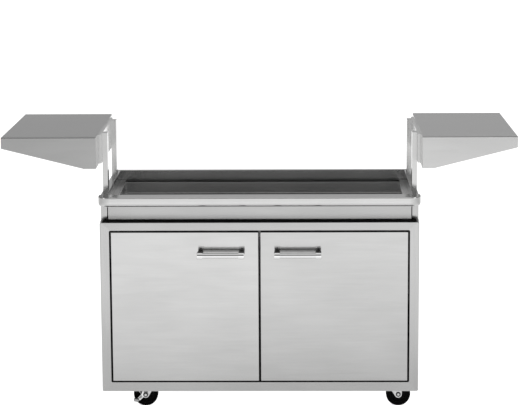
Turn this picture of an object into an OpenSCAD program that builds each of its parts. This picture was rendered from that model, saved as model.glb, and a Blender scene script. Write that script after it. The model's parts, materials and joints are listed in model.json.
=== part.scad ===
// Grill base cabinet on four casters, with two doors, a slide-out drip tray
// and two side shelves carried on posts. The grill head would stand on the
// cheeks above the drip tray.
// Millimetres: X runs to the right, Y to the back and Z up. The origin is on
// the floor, under the middle of the whole object.

/* [Cabinet] */
// Width over the side panels
cab_w = 1016; // [900:1:1300]
// Depth from the front of the face frame to the back panel
cab_d = 610; // [540:1:720]
// Height of the face frame
cab_h = 551.5; // [480:0.5:650]
// Thickness of the sheet steel
sheet = 1.5; // [1:0.1:2.5]
// Face width of the two stiles
stile_w = 30; // [24:0.5:45]
// Face height of the top rail
top_rail = 26; // [22:0.5:40]
// Face height of the bottom rail
bottom_rail = 30.5; // [24:0.5:45]
// Depth of the folded face frame
frame_d = 24; // [22:0.5:35]
// Radius of the face frame's four outer corners
frame_corner = 3; // [1:0.5:8]
// Width of the flanges that fold in from the side panels
panel_flange = 15; // [10:1:20]
// Height of the upturned edges of the floor pan
pan_lip = 8; // [5:0.5:30]

/* [Doors] */
// Thickness of a door
door_t = 20; // [16:0.5:22]
// Gap between a door's outer edge and the stile
side_gap = 5.8; // [4:0.1:8]
// Gap between the two doors
centre_gap = 6.7; // [4:0.1:12]
// Gap over the doors
top_gap = 5.5; // [3:0.1:8]
// Gap under the doors
bottom_gap = 4.5; // [3:0.1:8]
// Depth of the rim of a door's inner liner
liner_rim = 5; // [3:0.5:6]
// Distance from a door's outer edge to its pivot
pivot_in = 12; // [10:0.5:20]
// Distance from a door's face to its pivot
pivot_back = 8; // [7.8:0.1:10]
// Diameter of a hinge pin
pin_d = 8; // [6:0.5:9]
// Thickness of the flange on a hinge pin
pin_flange_t = 2; // [1:0.5:4]
// Height of a hinge bush inside its rail
bush_h = 12; // [8:0.5:16]
// Radial wall of a hinge bush's collar
bush_wall = 2; // [1.5:0.1:2.2]

/* [Handles] */
// Overall length of a handle
handle_l = 149.5; // [110:0.5:220]
// Distance from a door's inner edge to its handle
handle_in = 44; // [25:0.5:120]
// Distance from a door's top edge to the middle of the handle
handle_drop = 66; // [45:0.5:140]
// Distance from a door's face to the middle of the bar
handle_standoff = 50; // [35:0.5:65]
// Diameter of the bar
bar_d = 18; // [12:0.5:20]
// Radial wall of the sockets that hold the bar
socket_wall = 1.5; // [1:0.1:3]
// Length of a socket along the bar
socket_l = 18; // [12:0.5:25]
// Thickness of a socket's closed end
socket_end = 3; // [2:0.5:6]
// Diameter of the posts behind the sockets
handle_post_d = 17; // [10:0.5:18]

/* [Catches] */
// Width of a strike plate and of its magnet
catch_w = 40; // [25:1:60]
// Height of a strike plate and of its magnet
catch_h = 14; // [10:1:18]
// Distance from a door's inner edge to its strike plate
catch_in = 8; // [5:1:40]
// Distance from a door's top edge to its strike plate
catch_drop = 6; // [4:0.5:15]
// Thickness of a strike plate
strike_t = 1.5; // [1:0.1:3]
// Thickness of a magnet
magnet_t = 6; // [4:0.5:12]

/* [Neck and drip tray] */
// Height of the neck above the cabinet
neck_h = 80.5; // [70:0.5:110]
// Depth of the step from the face frame back to the neck
neck_step = 59; // [45:0.5:70]
// Distance from the back panel to the back of the neck
neck_rear = 15; // [5:1:40]
// Width of a neck cheek
cheek_w = 20; // [18:0.5:30]
// Seam between the drip tray's front and a cheek
seam = 3; // [1:0.1:5]
// Gap under the drip tray's front
front_lift = 1; // [0.5:0.1:3]
// Height of the rounded nose over the drip tray's front
nose_h = 30; // [24:0.5:36]
// How far the nose stands past the cabinet at each side
nose_over = 5.5; // [0:0.5:10]
// How far the nose stands in front of the face frame
nose_out = 3; // [0:0.5:15]
// Radius of the nose's upper and lower edges
nose_edge = 8; // [3:0.5:12]
// Corner radius of the nose, seen from above
nose_corner = 38; // [16:1:45]
// Depth of the drip pan
tray_h = 38; // [25:0.5:42]
// Space between the top deck and the drip pan
tray_under = 6; // [4:0.5:10]
// Space behind the drip pan for the gas hose
hose_space = 43.3; // [38:0.1:80]
// Width of the runners that carry the drip pan
runner_w = 16; // [12:0.5:22]
// Space between the drip pan's wall and a runner
runner_gap = 3; // [2:0.5:6]
// Diameter of the holes that hold the grill head down
seat_hole_d = 8.5; // [6:0.1:11]
// Distance from the neck's front and back to those holes
seat_hole_in = 32; // [20:1:60]

/* [Shelves] */
// Width of a side shelf
shelf_w = 300.5; // [220:0.5:400]
// Depth of a side shelf
shelf_d = 588; // [500:1:640]
// Height of the shelves' tops above the cabinet's top edge
shelf_rise = 275.5; // [230:0.5:350]
// Gap from the cabinet's side to a shelf
shelf_gap = 7; // [5:0.5:15]
// Height of a shelf's outer end
shelf_edge = 38; // [30:0.5:60]
// Height of a shelf's inner end
shelf_deep = 103; // [80:0.5:140]
// Length of the flat bottom at a shelf's inner end
shelf_flat = 39.5; // [25:0.5:80]
// Radius of the folds round a shelf's top
shelf_fold = 5; // [3:0.5:10]
// Width of the lips that turn in under a shelf
shelf_lip = 15; // [10:1:25]
// Depth of a shelf post
post_d = 40; // [30:1:60]
// Wall of a shelf post
post_wall = 2; // [1.5:0.1:3]
// Distance from the face frame to the front post
post_front = 125; // [115:1:200]
// Distance from the back panel to the back post
post_rear = 125; // [90:1:200]
// Thickness of the rail that carries a shelf
shelf_rail_t = 2; // [1.5:0.1:3]
// Diameter of the bolts that hold the shelves and their posts
shelf_bolt_d = 6; // [5:0.5:8]
// Distance from the top and bottom of a shelf rail to its bolts
shelf_bolt_in = 18; // [12:0.5:30]

/* [Casters] */
// Diameter of a wheel
wheel_d = 79; // [70:1:110]
// Width of a wheel
wheel_w = 32; // [24:1:40]
// Thickness of the tyre
tyre_t = 11; // [6:0.5:15]
// Radius of the tyre's shoulders
tyre_shoulder = 6; // [2:0.5:8]
// Distance from the cabinet's sides, front and back to a kingpin
caster_in = 97; // [95:1:130]
// Distance from the kingpin to the wheel's axle
swivel_offset = 36.5; // [25:0.5:38]
// Space between the wheel and the top of its fork
wheel_clear = 5.2; // [3:0.1:10]
// Space between the wheel's boss and each leg of its fork
leg_gap = 0.5; // [0.3:0.1:1]
// Thickness of a fork
fork_t = 3.5; // [2.5:0.1:5]
// Radius of the lower end of a fork's legs
leg_r = 11.5; // [10:0.5:14]
// How far a plain fork's legs reach past the kingpin
leg_past = 9; // [4:0.5:15]
// How far a braked fork's legs reach past the kingpin
brake_leg_past = 14; // [4:0.5:20]
// How far a braked fork's legs flare past the axle, and how high they do so
brake_flare = 30; // [20:0.5:31]
// Height of the ball race over a fork
race_h = 8; // [5:0.5:14]
// Radius of the ball race
race_r = 29; // [20:0.5:32]
// Thickness of a caster's top plate
plate_t = 3; // [2:0.5:5]
// Length of a caster's top plate along X
plate_x = 92; // [85:1:100]
// Length of a caster's top plate along Y
plate_y = 72; // [66:1:90]
// Thickness of the strips that spread the casters' load
doubler_t = 3; // [2:0.5:6]
// Distance from the edges of the top plate to its bolts
plate_bolt_in = 9; // [8:0.5:12]
// Diameter of a caster's bolts
bolt_d = 8; // [6:0.5:9]
// Diameter of a kingpin
kingpin_d = 12; // [8:0.5:16]
// Diameter of an axle
axle_d = 8; // [6:0.5:10]
// Radius of the boss in the middle of a hub
boss_r = 9; // [7:0.5:14]
// Thickness of the rim of a hub
hub_rim = 3.5; // [2:0.5:6]
// Depth of the dish in each face of a hub
hub_dish = 5.5; // [2:0.5:9]
// Width of the hexagons on bolts and nuts, across their corners
hex_d = 13; // [12:0.5:15]
// Height of those hexagons
hex_h = 4; // [2:0.5:4.5]
// Length of a brake lever, from the axle to the middle of its pad
lever_l = 33; // [26:0.5:36]
// Width of a brake lever
lever_w = 10; // [7:0.5:14]
// Thickness of a brake lever
lever_t = 3; // [2:0.5:5]
// Radius of the eye of a brake lever, round the axle
lever_eye_r = 8; // [7:0.5:12]
// Length of a brake lever's pad
pad_l = 14; // [10:0.5:20]
// Height of a brake lever's pad
pad_h = 11; // [6:0.5:14]
// How far a brake lever's pad stands out for the foot
pad_out = 11; // [6:0.5:20]
// Angle of a brake lever below the horizontal
lever_angle = 29; // [10:1:40]

/* [Inside] */
// Diameter of the hole that holds the gas cylinder's foot
tank_d = 216; // [205:1:230]
// Distance from the cabinet's middle to that hole
tank_x = 215; // [180:1:220]
// Height of the ring round that hole
tank_ring_h = 20; // [10:1:40]
// Width of the flange round that ring
tank_flange = 15; // [8:1:20]
// Bore of the grommet for the gas hose
hose_d = 32; // [20:1:45]
// Wall of the grommet
grommet_wall = 6; // [4:0.5:10]
// Thickness of the grommet's two lips
grommet_lip = 3; // [1.5:0.5:4]
// Height of the grommet above the cabinet's lower edge
hose_z = 120; // [80:1:200]
// Distance from the cabinet's middle to the grommet
hose_x = 330; // [150:1:380]
// Length of a vent slot
vent_l = 70; // [40:1:100]
// Height of a vent slot
vent_h = 7; // [4:0.5:12]
// Distance from one vent slot to the next
vent_pitch = 112; // [105:1:160]
// Distance from one row of vents to the next
vent_row_pitch = 21; // [14:1:40]
// Distance from the cabinet's top edge to the upper row of vents
vent_drop = 70; // [40:1:120]

/* [Hidden] */
$fn = 48;

// Finishes
steel = [0.78, 0.78, 0.79];
dark_steel = [0.55, 0.55, 0.56];
zinc = [0.72, 0.72, 0.70];
chrome = [0.88, 0.88, 0.90];
black = [0.06, 0.06, 0.06];

// Clearances
running = 0.05;
free = 0.3;
cut = 1;

// Floor to the cabinet's lower edge: the floor pan lies on the caster plates
caster_h = wheel_d + wheel_clear + fork_t + free + race_h + plate_t;
floor_gap = caster_h - bottom_rail + sheet;

// Front of the face frame, which centres the whole object on the origin
socket_r = bar_d / 2 + socket_wall;
front_reach = max(handle_standoff + socket_r, nose_out);
back_reach = max(cab_d + grommet_lip, shelf_d);
front_y = (front_reach - back_reach) / 2;

// Door opening, doors and pivots
open_w = cab_w - 2 * stile_w;
open_top = cab_h - top_rail;
half = cab_w / 2;
door_x = [centre_gap / 2, open_w / 2 - side_gap];
door_z = [bottom_rail + bottom_gap, open_top - top_gap];
pivot_x = door_x[1] - pivot_in;
pin_r = pin_d / 2;
pin_flange_r = min(pivot_back - sheet, door_t - liner_rim - pivot_back) - free;
collar_r = pin_r + running + bush_wall;

// Handles
handle_x = [door_x[0] + handle_in, door_x[0] + handle_in + handle_l];
handle_z = door_z[1] - handle_drop;

// Catches
catch_x = [door_x[0] + catch_in, door_x[0] + catch_in + catch_w];
catch_z = [door_z[1] - catch_drop - catch_h, door_z[1] - catch_drop];
magnet_y = door_t + strike_t + free;
stop_y = magnet_y + magnet_t;

// Gas hose
grommet_neck_r = hose_d / 2 + grommet_wall / 2;

// Panels, deck and neck
panel_in = half - sheet;
panel_back = cab_d - sheet;
deck_top = cab_h - sheet;
cheek_in = half - cheek_w;
neck_y = [neck_step, cab_d - neck_rear];
neck_top = cab_h + neck_h;
nose_z = [neck_top - nose_h, neck_top];
nose_half = half + nose_over;
seat_hole_x = half - cheek_w / 2;
seat_hole_y = [neck_y[0] + seat_hole_in, neck_y[1] - seat_hole_in];

// Drip tray, which leaves a space behind it for the gas hose
tray_face = neck_step - free;
tray_y = [tray_face + sheet, neck_y[1] - sheet - hose_space];
tray_z = [deck_top + tray_under, deck_top + tray_under + tray_h];
tray_half = cheek_in - runner_w - runner_gap;
lip_half = cheek_in - sheet - runner_gap / 2;
front_half = cheek_in - seam;
runner_y = [tray_y[0] + runner_gap, neck_y[1] - 2 * runner_gap];

// Shelves, with the rails and posts that carry them
shelf_top = cab_h + shelf_rise;
shelf_x = [half + shelf_gap, half + shelf_gap + shelf_w];
shelf_slope = atan((shelf_deep - shelf_edge) / (shelf_w - shelf_flat));
post_x = [cheek_in + sheet + free, panel_in - free];
post_y = [[post_front, post_front + post_d], [cab_d - post_rear - post_d, cab_d - post_rear]];
rail_z = [shelf_top - shelf_deep + shelf_fold, shelf_top - shelf_fold];
rail_y = [post_y[0][0] - post_d, post_y[1][1] + post_d];
shelf_bolt_r = shelf_bolt_d / 2;
shelf_bolt_z = [rail_z[0] + shelf_bolt_in, rail_z[1] - shelf_bolt_in];
foot_bolt_z = mid([cab_h, nose_z[0]]);

// Casters
wheel_r = wheel_d / 2;
kingpin_x = half - caster_in;
race_z = [caster_h - plate_t - race_h, caster_h - plate_t];
fork_z = race_z[0] - free;
leg_y = [wheel_w / 2 + leg_gap, wheel_w / 2 + leg_gap + fork_t];
leg_top = fork_z - wheel_r;
leg_lean = swivel_offset + leg_past;
brake_lean = swivel_offset + brake_leg_past;
lever_y = [-leg_y[1] - free - lever_t, -leg_y[1] - free];
plate_bolts = [plate_x / 2 - plate_bolt_in, plate_y / 2 - plate_bolt_in];

// Middle of a pair of values
function mid(pair) = (pair[0] + pair[1]) / 2;

// A box between two values along each direction
module block(x, y, z) {
    translate([x[0], y[0], z[0]])
        cube([x[1] - x[0], y[1] - y[0], z[1] - z[0]]);
}

// An outline in X and Z, drawn out along Y
module along_y(y) {
    translate([0, y[1], 0])
        rotate([90, 0, 0])
            linear_extrude(y[1] - y[0])
                children();
}

// An outline in Y and Z, drawn out along X
module along_x(x) {
    translate([x[0], 0, 0])
        rotate([90, 0, 90])
            linear_extrude(x[1] - x[0])
                children();
}

// Round bars along the three directions
module rod_x(x, r, y = 0, z = 0) {
    translate([x[0], y, z])
        rotate([0, 90, 0])
            cylinder(r = r, h = x[1] - x[0]);
}

module rod_y(y, r, x = 0, z = 0) {
    translate([x, y[1], z])
        rotate([90, 0, 0])
            cylinder(r = r, h = y[1] - y[0]);
}

module rod_z(z, r, x = 0, y = 0) {
    translate([x, y, z[0]])
        cylinder(r = r, h = z[1] - z[0]);
}

// A rectangle with round corners, centred
module rounded_rectangle(w, h, r) {
    square([w - 2 * r, h], center = true);
    square([w, h - 2 * r], center = true);
    for (x = [-1, 1], z = [-1, 1])
        translate([x * (w / 2 - r), z * (h / 2 - r)])
            circle(r);
}

// Cabinet coordinates: Y from the face frame's front, Z from its lower edge
module in_cabinet() {
    translate([0, front_y, floor_gap])
        children();
}

// A piece drawn on the right, or its mirror image on the left
module on_side(side) {
    if (side == "left")
        mirror([1, 0, 0])
            in_cabinet()
                children();
    else
        in_cabinet()
            children();
}

// Welded and folded frame round the doors, open at the back like a channel
module face_frame() {
    color(steel)
        in_cabinet()
            difference() {
                translate([0, 0, cab_h / 2])
                    along_y([0, frame_d])
                        rounded_rectangle(cab_w, cab_h, frame_corner);
                block([-open_w / 2, open_w / 2], [-cut, frame_d + cut], [bottom_rail, open_top]);
                difference() {
                    block([-panel_in, panel_in], [sheet, frame_d + cut], [sheet, cab_h - sheet]);
                    block(
                        [-open_w / 2 - sheet, open_w / 2 + sheet],
                        [0, frame_d + 2 * cut],
                        [bottom_rail - sheet, open_top + sheet]
                    );
                }
                for (x = [-pivot_x, pivot_x])
                    rod_z(
                        [bottom_rail - sheet - cut, open_top + sheet + cut],
                        collar_r + running,
                        x,
                        pivot_back
                    );
            }
}

// Side of the cabinet, with flanges turned in along all four edges
module side_panel(side) {
    color(steel)
        on_side(side) {
            block([panel_in, half], [frame_d, panel_back], [0, cab_h]);
            block([half - stile_w, half], [frame_d, frame_d + sheet], [0, cab_h]);
            block([half - panel_flange, half], [panel_back - sheet, panel_back], [0, cab_h]);
            block([half - panel_flange, half], [frame_d, panel_back], [0, sheet]);
            block([cheek_in, half], [frame_d, panel_back], [cab_h - sheet, cab_h]);
        }
}

// A long slot with round ends
module vent_slot() {
    square([vent_l - vent_h, vent_h], center = true);
    for (x = [-1, 1])
        translate([x * (vent_l - vent_h) / 2, 0])
            circle(vent_h / 2);
}

// Back of the cabinet, with two rows of vents and the hole for the gas hose
module back_panel() {
    vents = floor(open_w / vent_pitch);
    rows = [cab_h - vent_drop, cab_h - vent_drop - vent_row_pitch];
    color(steel)
        in_cabinet()
            difference() {
                block([-half, half], [panel_back, cab_d], [0, cab_h]);
                for (i = [0 : vents - 1], z = rows)
                    translate([(i - (vents - 1) / 2) * vent_pitch, 0, z])
                        along_y([panel_back - cut, cab_d + cut])
                            vent_slot();
                rod_y([panel_back - cut, cab_d + cut], grommet_neck_r + running, hose_x, hose_z);
            }
}

// Floor of the cabinet, with its side and back edges turned up
module floor_pan() {
    pan_y = [frame_d + sheet, panel_back - sheet];
    color(steel)
        in_cabinet()
            difference() {
                block([-panel_in, panel_in], pan_y, [bottom_rail - sheet, bottom_rail + pan_lip]);
                block(
                    [-panel_in + sheet, panel_in - sheet],
                    [pan_y[0] - cut, pan_y[1] - sheet],
                    [bottom_rail, bottom_rail + pan_lip + cut]
                );
                rod_z([0, bottom_rail + cut], tank_d / 2 + sheet, -tank_x, cab_d / 2);
                at_plate_bolts()
                    rod_z([0, bottom_rail + cut], bolt_d / 2 + running);
            }
}

// Top of the cabinet under the drip tray, with a hole for the gas hose
module top_deck() {
    color(steel)
        in_cabinet()
            difference() {
                union() {
                    block(
                        [-panel_in, panel_in],
                        [neck_step, panel_back - sheet],
                        [deck_top - sheet, deck_top]
                    );
                    block(
                        [-panel_in, panel_in],
                        [neck_step, neck_step + sheet],
                        [deck_top - panel_flange, deck_top]
                    );
                }
                rod_z(
                    [deck_top - sheet - cut, deck_top + cut],
                    hose_d / 2,
                    0,
                    mid([tray_y[1], neck_y[1] - sheet])
                );
            }
}

// Folded box along one side of the neck. The grill head is bolted to its top.
module neck_cheek(side) {
    through_top = [neck_top - sheet - cut, neck_top + cut];
    through_side = [cheek_in - cut, cheek_in + sheet + cut];
    color(steel)
        on_side(side)
            difference() {
                block([cheek_in, half], neck_y, [cab_h, neck_top]);
                block(
                    [cheek_in + sheet, panel_in],
                    neck_y + [sheet, -sheet],
                    [cab_h - cut, neck_top - sheet]
                );
                for (y = seat_hole_y)
                    rod_z(through_top, seat_hole_d / 2, seat_hole_x, y);
                for (y = post_y) {
                    block(post_x + [-free, free], y + [-free, free], through_top);
                    rod_x(through_side, shelf_bolt_r + running, mid(y), foot_bolt_z);
                }
            }
}

// Back of the neck between the cheeks, with a flange turned forwards
module neck_back_rail() {
    color(steel)
        in_cabinet() {
            block([-cheek_in, cheek_in], [neck_y[1] - sheet, neck_y[1]], [deck_top, neck_top]);
            block([-cheek_in, cheek_in], [neck_y[1] - cheek_w, neck_y[1]], [neck_top - sheet, neck_top]);
        }
}

// Two channels on the cheeks, in which the lips of the drip pan slide
module tray_runners() {
    lip_z = [tray_z[1] - sheet, tray_z[1]];
    channel_z = [lip_z[0] - free - sheet, lip_z[1] + 2 * free + sheet];
    color(dark_steel)
        for (side = ["left", "right"])
            on_side(side)
                difference() {
                    block([cheek_in - runner_w, cheek_in], runner_y, channel_z);
                    block(
                        [cheek_in - runner_w - cut, cheek_in - sheet],
                        runner_y + [-cut, cut],
                        channel_z + [sheet, -sheet]
                    );
                }
}

// Angle behind the middle of the top rail, which carries the magnets
module door_stop() {
    stop_half = catch_x[1] + catch_w / 2;
    color(dark_steel)
        in_cabinet() {
            block([-stop_half, stop_half], [frame_d / 2, stop_y + sheet], [deck_top - sheet, deck_top]);
            block([-stop_half, stop_half], [stop_y, stop_y + sheet], [catch_z[0], deck_top]);
        }
}

// Two magnets on the door stop
module magnetic_catches() {
    color(black)
        for (side = ["left", "right"])
            on_side(side)
                block(catch_x, [magnet_y, stop_y], catch_z);
}

// Four bushes inside the rails. A collar of each comes through to its door.
module hinge_bushes() {
    body_x = [pivot_x - pivot_back - sheet, pivot_x + pivot_back + sheet];
    body_y = [sheet, 2 * pivot_back - sheet];
    low_z = bottom_rail - sheet;
    high_z = open_top + sheet;
    color(dark_steel)
        for (side = ["left", "right"])
            on_side(side) {
                difference() {
                    union() {
                        block(body_x, body_y, [low_z - bush_h, low_z]);
                        rod_z([low_z - bush_h, door_z[0] - free], collar_r, pivot_x, pivot_back);
                    }
                    rod_z([0, door_z[0]], pin_r + running, pivot_x, pivot_back);
                }
                difference() {
                    union() {
                        block(body_x, body_y, [high_z, high_z + bush_h]);
                        rod_z([door_z[1] + free, high_z + bush_h], collar_r, pivot_x, pivot_back);
                    }
                    rod_z([door_z[1], cab_h], pin_r + running, pivot_x, pivot_back);
                }
            }
}

// Flanged ring in the floor pan that keeps the gas cylinder's foot in place
module tank_ring() {
    ring_top = bottom_rail + tank_ring_h;
    color(dark_steel)
        in_cabinet()
            translate([-tank_x, cab_d / 2, 0])
                difference() {
                    union() {
                        rod_z([bottom_rail - sheet, ring_top], tank_d / 2 + sheet - running);
                        rod_z([bottom_rail, bottom_rail + sheet], tank_d / 2 + tank_flange);
                    }
                    rod_z([bottom_rail - 2 * sheet, ring_top + cut], tank_d / 2);
                }
}

// Rubber grommet, grooved round the edge of its hole in the back panel
module hose_grommet() {
    bore_r = hose_d / 2;
    color(black)
        in_cabinet()
            translate([hose_x, 0, hose_z])
                difference() {
                    union() {
                        rod_y([panel_back - grommet_lip, panel_back], bore_r + grommet_wall);
                        rod_y([panel_back - grommet_lip, cab_d + grommet_lip], grommet_neck_r);
                        rod_y([cab_d, cab_d + grommet_lip], bore_r + grommet_wall);
                    }
                    rod_y([panel_back - grommet_lip - cut, cab_d + grommet_lip + cut], bore_r);
                }
}

// Outline of a shelf in X and Z, drawn in by t on every side
module shelf_profile(t) {
    r = shelf_fold - t;
    out = shelf_x[1] - t;
    top = shelf_top - t;
    low = shelf_top - shelf_deep + t;
    knee = shelf_x[0] + shelf_flat - t * tan(shelf_slope / 2);
    polygon([
        [shelf_x[0] + t, low],
        [knee, low],
        [out, low + (out - knee) * tan(shelf_slope)],
        [out, top - r],
        [out - r, top],
        [shelf_x[0] + t, top]
    ]);
    translate([out - r, top - r])
        circle(r);
}

// Solid form of a shelf, with its front and back top edges rounded as well
module shelf_form(t) {
    r = shelf_fold - t;
    top = shelf_top - t;
    low = shelf_top - shelf_deep - cut;
    intersection() {
        along_y([t, shelf_d - t])
            shelf_profile(t);
        along_x([shelf_x[0], shelf_x[1]]) {
            translate([t, low])
                square([shelf_d - 2 * t, top - r - low]);
            translate([t + r, low])
                square([shelf_d - 2 * t - 2 * r, top - low]);
            for (y = [t + r, shelf_d - t - r])
                translate([y, top - r])
                    circle(r);
        }
    }
}

// Folded shelf, open underneath between its lips
module shelf(side) {
    color(steel)
        on_side(side)
            difference() {
                shelf_form(0);
                shelf_form(sheet);
                block(
                    [shelf_x[0] + shelf_lip, shelf_x[1] - shelf_lip],
                    [shelf_lip, shelf_d - shelf_lip],
                    [shelf_top - shelf_deep - cut, shelf_top - shelf_edge + 2 * sheet]
                );
                at_shelf_bolts()
                    rod_x([shelf_x[0] - cut, shelf_x[0] + sheet + cut], shelf_bolt_r + running);
            }
}

// Channel between a shelf and its posts
module shelf_rail(side) {
    color(steel)
        on_side(side)
            difference() {
                block([post_x[1], shelf_x[0]], rail_y, rail_z);
                block(
                    [post_x[1] + shelf_rail_t, shelf_x[0] + cut],
                    rail_y + [shelf_rail_t, -shelf_rail_t],
                    rail_z + [shelf_rail_t, -shelf_rail_t]
                );
                at_shelf_bolts()
                    rod_x([post_x[1] - cut, post_x[1] + shelf_rail_t + cut], shelf_bolt_r + running);
            }
}

// Two box posts that stand in the neck cheek and carry the shelf's rail
module shelf_posts(side) {
    color(steel)
        on_side(side)
            difference() {
                for (y = post_y)
                    difference() {
                        block(post_x, y, [cab_h, rail_z[1]]);
                        block(
                            post_x + [post_wall, -post_wall],
                            y + [post_wall, -post_wall],
                            [cab_h - cut, rail_z[1] - post_wall]
                        );
                    }
                at_shelf_bolts()
                    rod_x([post_x[1] - post_wall - cut, post_x[1] + cut], shelf_bolt_r + running);
                for (y = post_y)
                    rod_x(
                        [post_x[0] - cut, post_x[0] + post_wall + cut],
                        shelf_bolt_r + running,
                        mid(y),
                        foot_bolt_z
                    );
            }
}

// Bolts from the shelves into their posts, and from the cheeks into the posts
module shelf_bolts() {
    color(zinc)
        for (side = ["left", "right"])
            on_side(side) {
                at_shelf_bolts() {
                    rod_x([post_x[1] - 2 * post_wall, shelf_x[0] + sheet], shelf_bolt_r);
                    rod_x([shelf_x[0] + sheet, shelf_x[0] + sheet + hex_h], hex_d / 2, $fn = 6);
                }
                for (y = post_y) {
                    rod_x([cheek_in, post_x[0] + 2 * post_wall], shelf_bolt_r, mid(y), foot_bolt_z);
                    rod_x([cheek_in - hex_h, cheek_in], hex_d / 2, mid(y), foot_bolt_z, $fn = 6);
                }
            }
}

// Places of the bolts that hold a shelf, in the middle of its posts
module at_shelf_bolts() {
    for (y = post_y, z = shelf_bolt_z)
        translate([0, mid(y), z])
            children();
}

// Outer skin of a door, with its four edges folded back
module door_skin(side) {
    color(steel)
        on_side(side)
            difference() {
                block(door_x, [0, door_t], door_z);
                block(door_x + [sheet, -sheet], [sheet, door_t + cut], door_z + [sheet, -sheet]);
                rod_z(door_z + [-cut, cut], pin_r + running, pivot_x, pivot_back);
            }
}

// Inner liner that closes the back of a door
module door_liner(side) {
    color(steel)
        on_side(side)
            difference() {
                block(door_x + [sheet, -sheet], [door_t - liner_rim, door_t], door_z + [sheet, -sheet]);
                block(
                    door_x + [2 * sheet, -2 * sheet],
                    [door_t - liner_rim - cut, door_t - sheet],
                    door_z + [2 * sheet, -2 * sheet]
                );
            }
}

// Bar of a door handle
module handle_bar(side) {
    color(chrome)
        on_side(side)
            rod_x(handle_x + [socket_end, -socket_end], bar_d / 2, -handle_standoff, handle_z);
}

// Two cast sockets with their posts, which hold the bar off the door
module handle_brackets(side) {
    color(chrome)
        on_side(side)
            for (x = [[handle_x[0], handle_x[0] + socket_l], [handle_x[1] - socket_l, handle_x[1]]])
                difference() {
                    union() {
                        rod_x(x, socket_r, -handle_standoff, handle_z);
                        rod_y([-handle_standoff, 0], handle_post_d / 2, mid(x), handle_z);
                    }
                    rod_x(
                        handle_x + [socket_end, -socket_end],
                        bar_d / 2 + running,
                        -handle_standoff,
                        handle_z
                    );
                }
}

// Plate on the back of a door for its magnet
module strike_plate(side) {
    color(zinc)
        on_side(side)
            block(catch_x, [door_t, door_t + strike_t], catch_z);
}

// Flanged pins at the top and bottom of a door
module hinge_pins(side) {
    color(zinc)
        on_side(side) {
            rod_z([door_z[1] - sheet, open_top + sheet + bush_h], pin_r, pivot_x, pivot_back);
            rod_z([door_z[1] - sheet - pin_flange_t, door_z[1] - sheet], pin_flange_r, pivot_x, pivot_back);
            rod_z([bottom_rail - sheet - bush_h, door_z[0] + sheet], pin_r, pivot_x, pivot_back);
            rod_z([door_z[0] + sheet, door_z[0] + sheet + pin_flange_t], pin_flange_r, pivot_x, pivot_back);
        }
}

// Open pan that catches the grease, with lips that slide in the runners
module drip_tray_pan() {
    color(steel)
        in_cabinet()
            difference() {
                union() {
                    block([-tray_half, tray_half], tray_y, tray_z);
                    block([-lip_half, lip_half], tray_y, [tray_z[1] - sheet, tray_z[1]]);
                }
                block(
                    [-tray_half + sheet, tray_half - sheet],
                    tray_y + [sheet, -sheet],
                    [tray_z[0] + sheet, tray_z[1] + cut]
                );
            }
}

// Front plate of the drip tray, seen as a recessed band over the doors
module drip_tray_front() {
    color(steel)
        in_cabinet()
            block([-front_half, front_half], [tray_face, tray_y[0]], [cab_h + front_lift, neck_top]);
}

// Nose of the drip tray with its rounded edges, drawn in by t on every side
module nose_form(t) {
    r = nose_edge - t;
    corner = nose_corner - t;
    back = tray_face + t;
    side = nose_half - t;
    front = t - nose_out;
    intersection() {
        along_x([-side, side]) {
            for (z = [nose_z[0] + nose_edge, nose_z[1] - nose_edge])
                translate([front + r, z])
                    circle(r);
            translate([front, nose_z[0] + nose_edge])
                square([back - front, nose_h - 2 * nose_edge]);
            translate([front + r, nose_z[0] + t])
                square([back - front - r, nose_h - 2 * t]);
        }
        translate([0, 0, nose_z[0]])
            linear_extrude(nose_h)
                union() {
                    translate([-side, front + corner])
                        square([2 * side, back - front - corner]);
                    translate([corner - side, front])
                        square([2 * (side - corner), corner + cut]);
                    for (x = [corner - side, side - corner])
                        translate([x, front + corner])
                            circle(corner);
                }
    }
}

// Rounded nose along the top of the drip tray's front, used as its handle
module drip_tray_nose() {
    color(steel)
        in_cabinet()
            difference() {
                nose_form(0);
                nose_form(sheet);
            }
}

// Kingpin position of a caster, on the floor
module at_caster(side, row) {
    x = side == "left" ? -kingpin_x : kingpin_x;
    y = row == "front" ? caster_in : cab_d - caster_in;
    translate([x, front_y + y, 0])
        children();
}

// Every kingpin position
module at_casters() {
    for (side = ["left", "right"], row = ["front", "rear"])
        at_caster(side, row)
            children();
}

// Axle of a caster, which trails to the right of the kingpin
module at_axle(side, row) {
    at_caster(side, row)
        translate([swivel_offset, 0, wheel_r])
            children();
}

// Places of the bolts of every caster plate, in cabinet coordinates
module at_plate_bolts() {
    for (x = [-kingpin_x, kingpin_x], y = [caster_in, cab_d - caster_in], i = [-1, 1], j = [-1, 1])
        translate([x + i * plate_bolts[0], y + j * plate_bolts[1], 0])
            children();
}

// Strips inside the floor pan that spread the load of the casters
module caster_doublers() {
    color(dark_steel)
        in_cabinet()
            difference() {
                for (x = [-kingpin_x, kingpin_x])
                    block(
                        [x - plate_x / 2, x + plate_x / 2],
                        [caster_in - plate_y / 2, cab_d - caster_in + plate_y / 2],
                        [bottom_rail, bottom_rail + doubler_t]
                    );
                at_plate_bolts()
                    rod_z([bottom_rail - cut, bottom_rail + doubler_t + cut], bolt_d / 2 + running);
            }
}

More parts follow.
